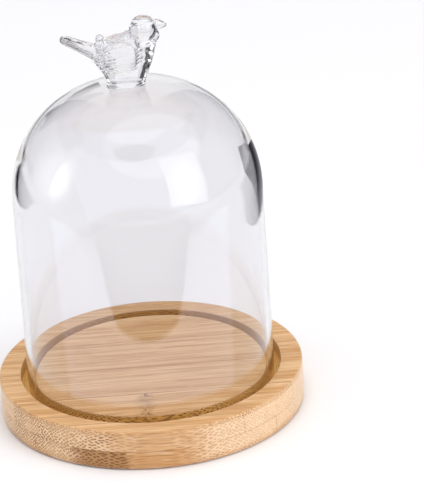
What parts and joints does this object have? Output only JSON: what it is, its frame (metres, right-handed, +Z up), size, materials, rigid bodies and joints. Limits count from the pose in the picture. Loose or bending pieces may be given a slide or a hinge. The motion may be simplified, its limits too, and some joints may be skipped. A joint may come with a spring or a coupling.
{
  "type": "glass bell jar dome",
  "caption": "Clear glass bell jar with a small bird finial, standing in the groove of a round laminated bamboo base.",
  "frame": {"origin": "centre of the base's underside, on the dome's axis", "axes": "+Z up along the dome's axis; +X the way the bird faces and the bamboo's grain runs; -Y the front"},
  "size_m": [0.11, 0.11, 0.149],
  "materials": {
    "bamboo_top": "planed natural bamboo, satin clear coat",
    "bamboo_under": "planed natural bamboo, satin clear coat",
    "dome_glass": "clear blown glass, polished",
    "bird_glass": "clear pressed glass, fire polished"
  },
  "bodies": {
    "base": {"top_strip_1": "bamboo_top", "top_strip_2": "bamboo_top", "top_strip_3": "bamboo_top", "top_strip_4": "bamboo_top", "top_strip_5": "bamboo_top", "top_strip_6": "bamboo_top", "under_strip_1": "bamboo_under", "under_strip_2": "bamboo_under", "under_strip_3": "bamboo_under", "under_strip_4": "bamboo_under", "under_strip_5": "bamboo_under"},
    "dome": {"glass_dome": "dome_glass", "bird_finial": "bird_glass"}
  },
  "joints": [
    {"name": "dome_lift", "type": "slide", "parent": "base", "child": "dome", "axis": [0, 0, 1], "range_m": [0, 0.12]}
  ]
}
